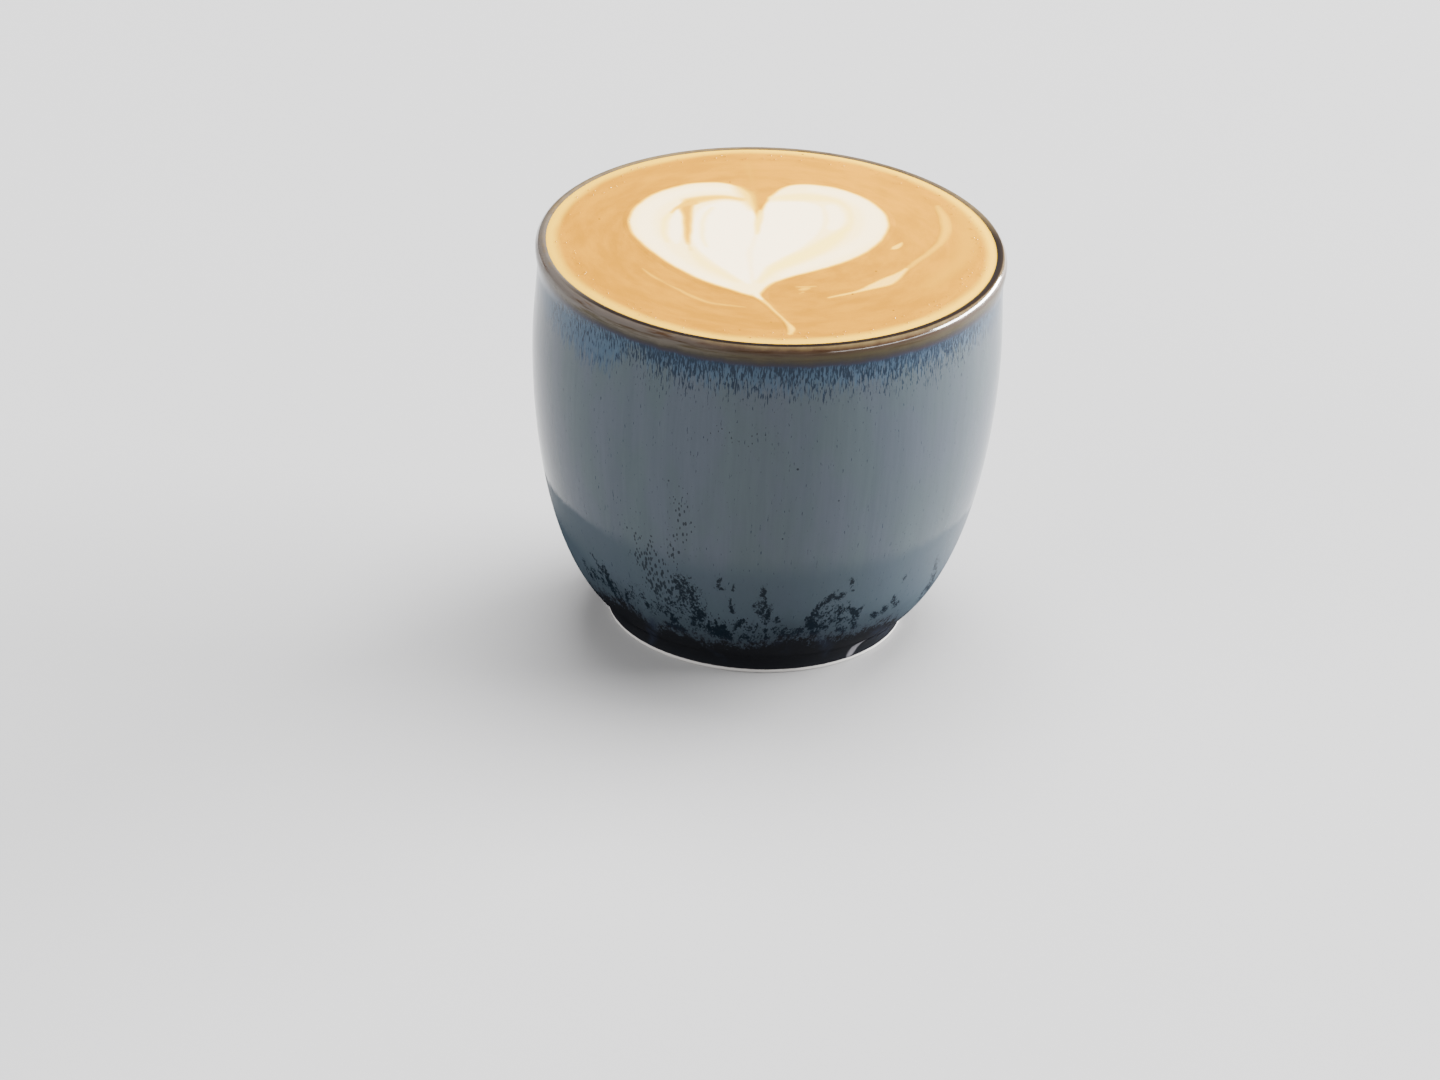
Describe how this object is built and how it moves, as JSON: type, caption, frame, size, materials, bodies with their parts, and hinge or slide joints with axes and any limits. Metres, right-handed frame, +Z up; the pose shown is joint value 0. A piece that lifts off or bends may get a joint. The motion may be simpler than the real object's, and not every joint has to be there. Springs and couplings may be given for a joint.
{
  "type": "cortado in a handleless cup",
  "caption": "Cortado with a heart poured in milk foam, filled to the brim of a small handleless stoneware cup with a rolled rim and a short foot ring.",
  "frame": {"origin": "middle of the foot ring, on the plane that the cup stands on", "axes": "+Z up through the middle of the cup; the tip of the poured heart points to -Y and its two lobes lie towards +Y"},
  "size_m": [0.072, 0.072, 0.062],
  "materials": {
    "reactive_glaze": "gloss",
    "crema": "satin",
    "milk_foam": "satin"
  },
  "bodies": {
    "root": {"cup": "reactive_glaze", "coffee": "crema", "milk_heart": "milk_foam", "milk_swirl": "milk_foam"}
  },
  "joints": []
}
